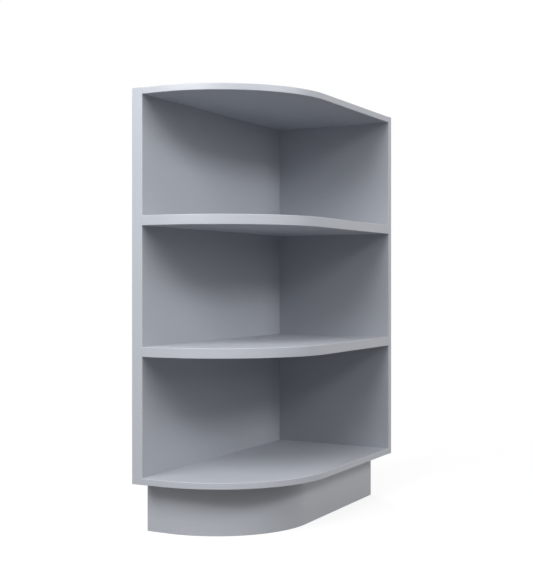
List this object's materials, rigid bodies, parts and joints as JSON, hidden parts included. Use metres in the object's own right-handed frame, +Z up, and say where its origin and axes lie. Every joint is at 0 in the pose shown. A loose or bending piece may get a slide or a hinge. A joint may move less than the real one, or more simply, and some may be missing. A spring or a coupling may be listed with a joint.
{
  "type": "base end shelf cabinet",
  "caption": "Open kitchen base unit for the end of a run, with round-cornered shelves between a deep side panel and a back panel, on a recessed curved plinth.",
  "frame": {"origin": "middle of the footprint, on the floor", "axes": "+X towards the open end, away from the neighbouring cabinet; +Y towards the wall; +Z up"},
  "size_m": [0.3048, 0.6096, 0.8763],
  "materials": {
    "painted_board": "satin sprayed lacquer, light cool grey, on board",
    "painted_lipping": "satin sprayed lacquer, light cool grey, on a wooden lipping",
    "painted_fascia": "satin sprayed lacquer, light cool grey, on bent plywood",
    "plywood": "unpainted birch plywood, with its plies showing on the edges",
    "beech": "bare beech dowel",
    "zinc_plate": "bright zinc-plated steel"
  },
  "bodies": {
    "root": {"side_panel": "painted_board", "back_panel": "painted_board", "top_panel": "painted_board", "upper_shelf": "painted_board", "lower_shelf": "painted_board", "bottom_panel": "painted_board", "side_panel_lipping": "painted_lipping", "back_panel_lipping": "painted_lipping", "top_panel_lipping": "painted_lipping", "upper_shelf_lipping": "painted_lipping", "lower_shelf_lipping": "painted_lipping", "bottom_panel_lipping": "painted_lipping", "plinth_fascia": "painted_fascia", "plinth_side_rail": "plywood", "plinth_rear_rail": "plywood", "plinth_cross_rail": "plywood", "plinth_upper_former": "plywood", "plinth_lower_former": "plywood", "plinth_side_cleat": "plywood", "plinth_end_cleat": "plywood", "large_dowels": "beech", "small_dowels": "beech", "side_panel_screws": "zinc_plate", "back_panel_screws": "zinc_plate", "plinth_frame_screws": "zinc_plate", "plinth_fixing_screws": "zinc_plate"}
  },
  "joints": []
}
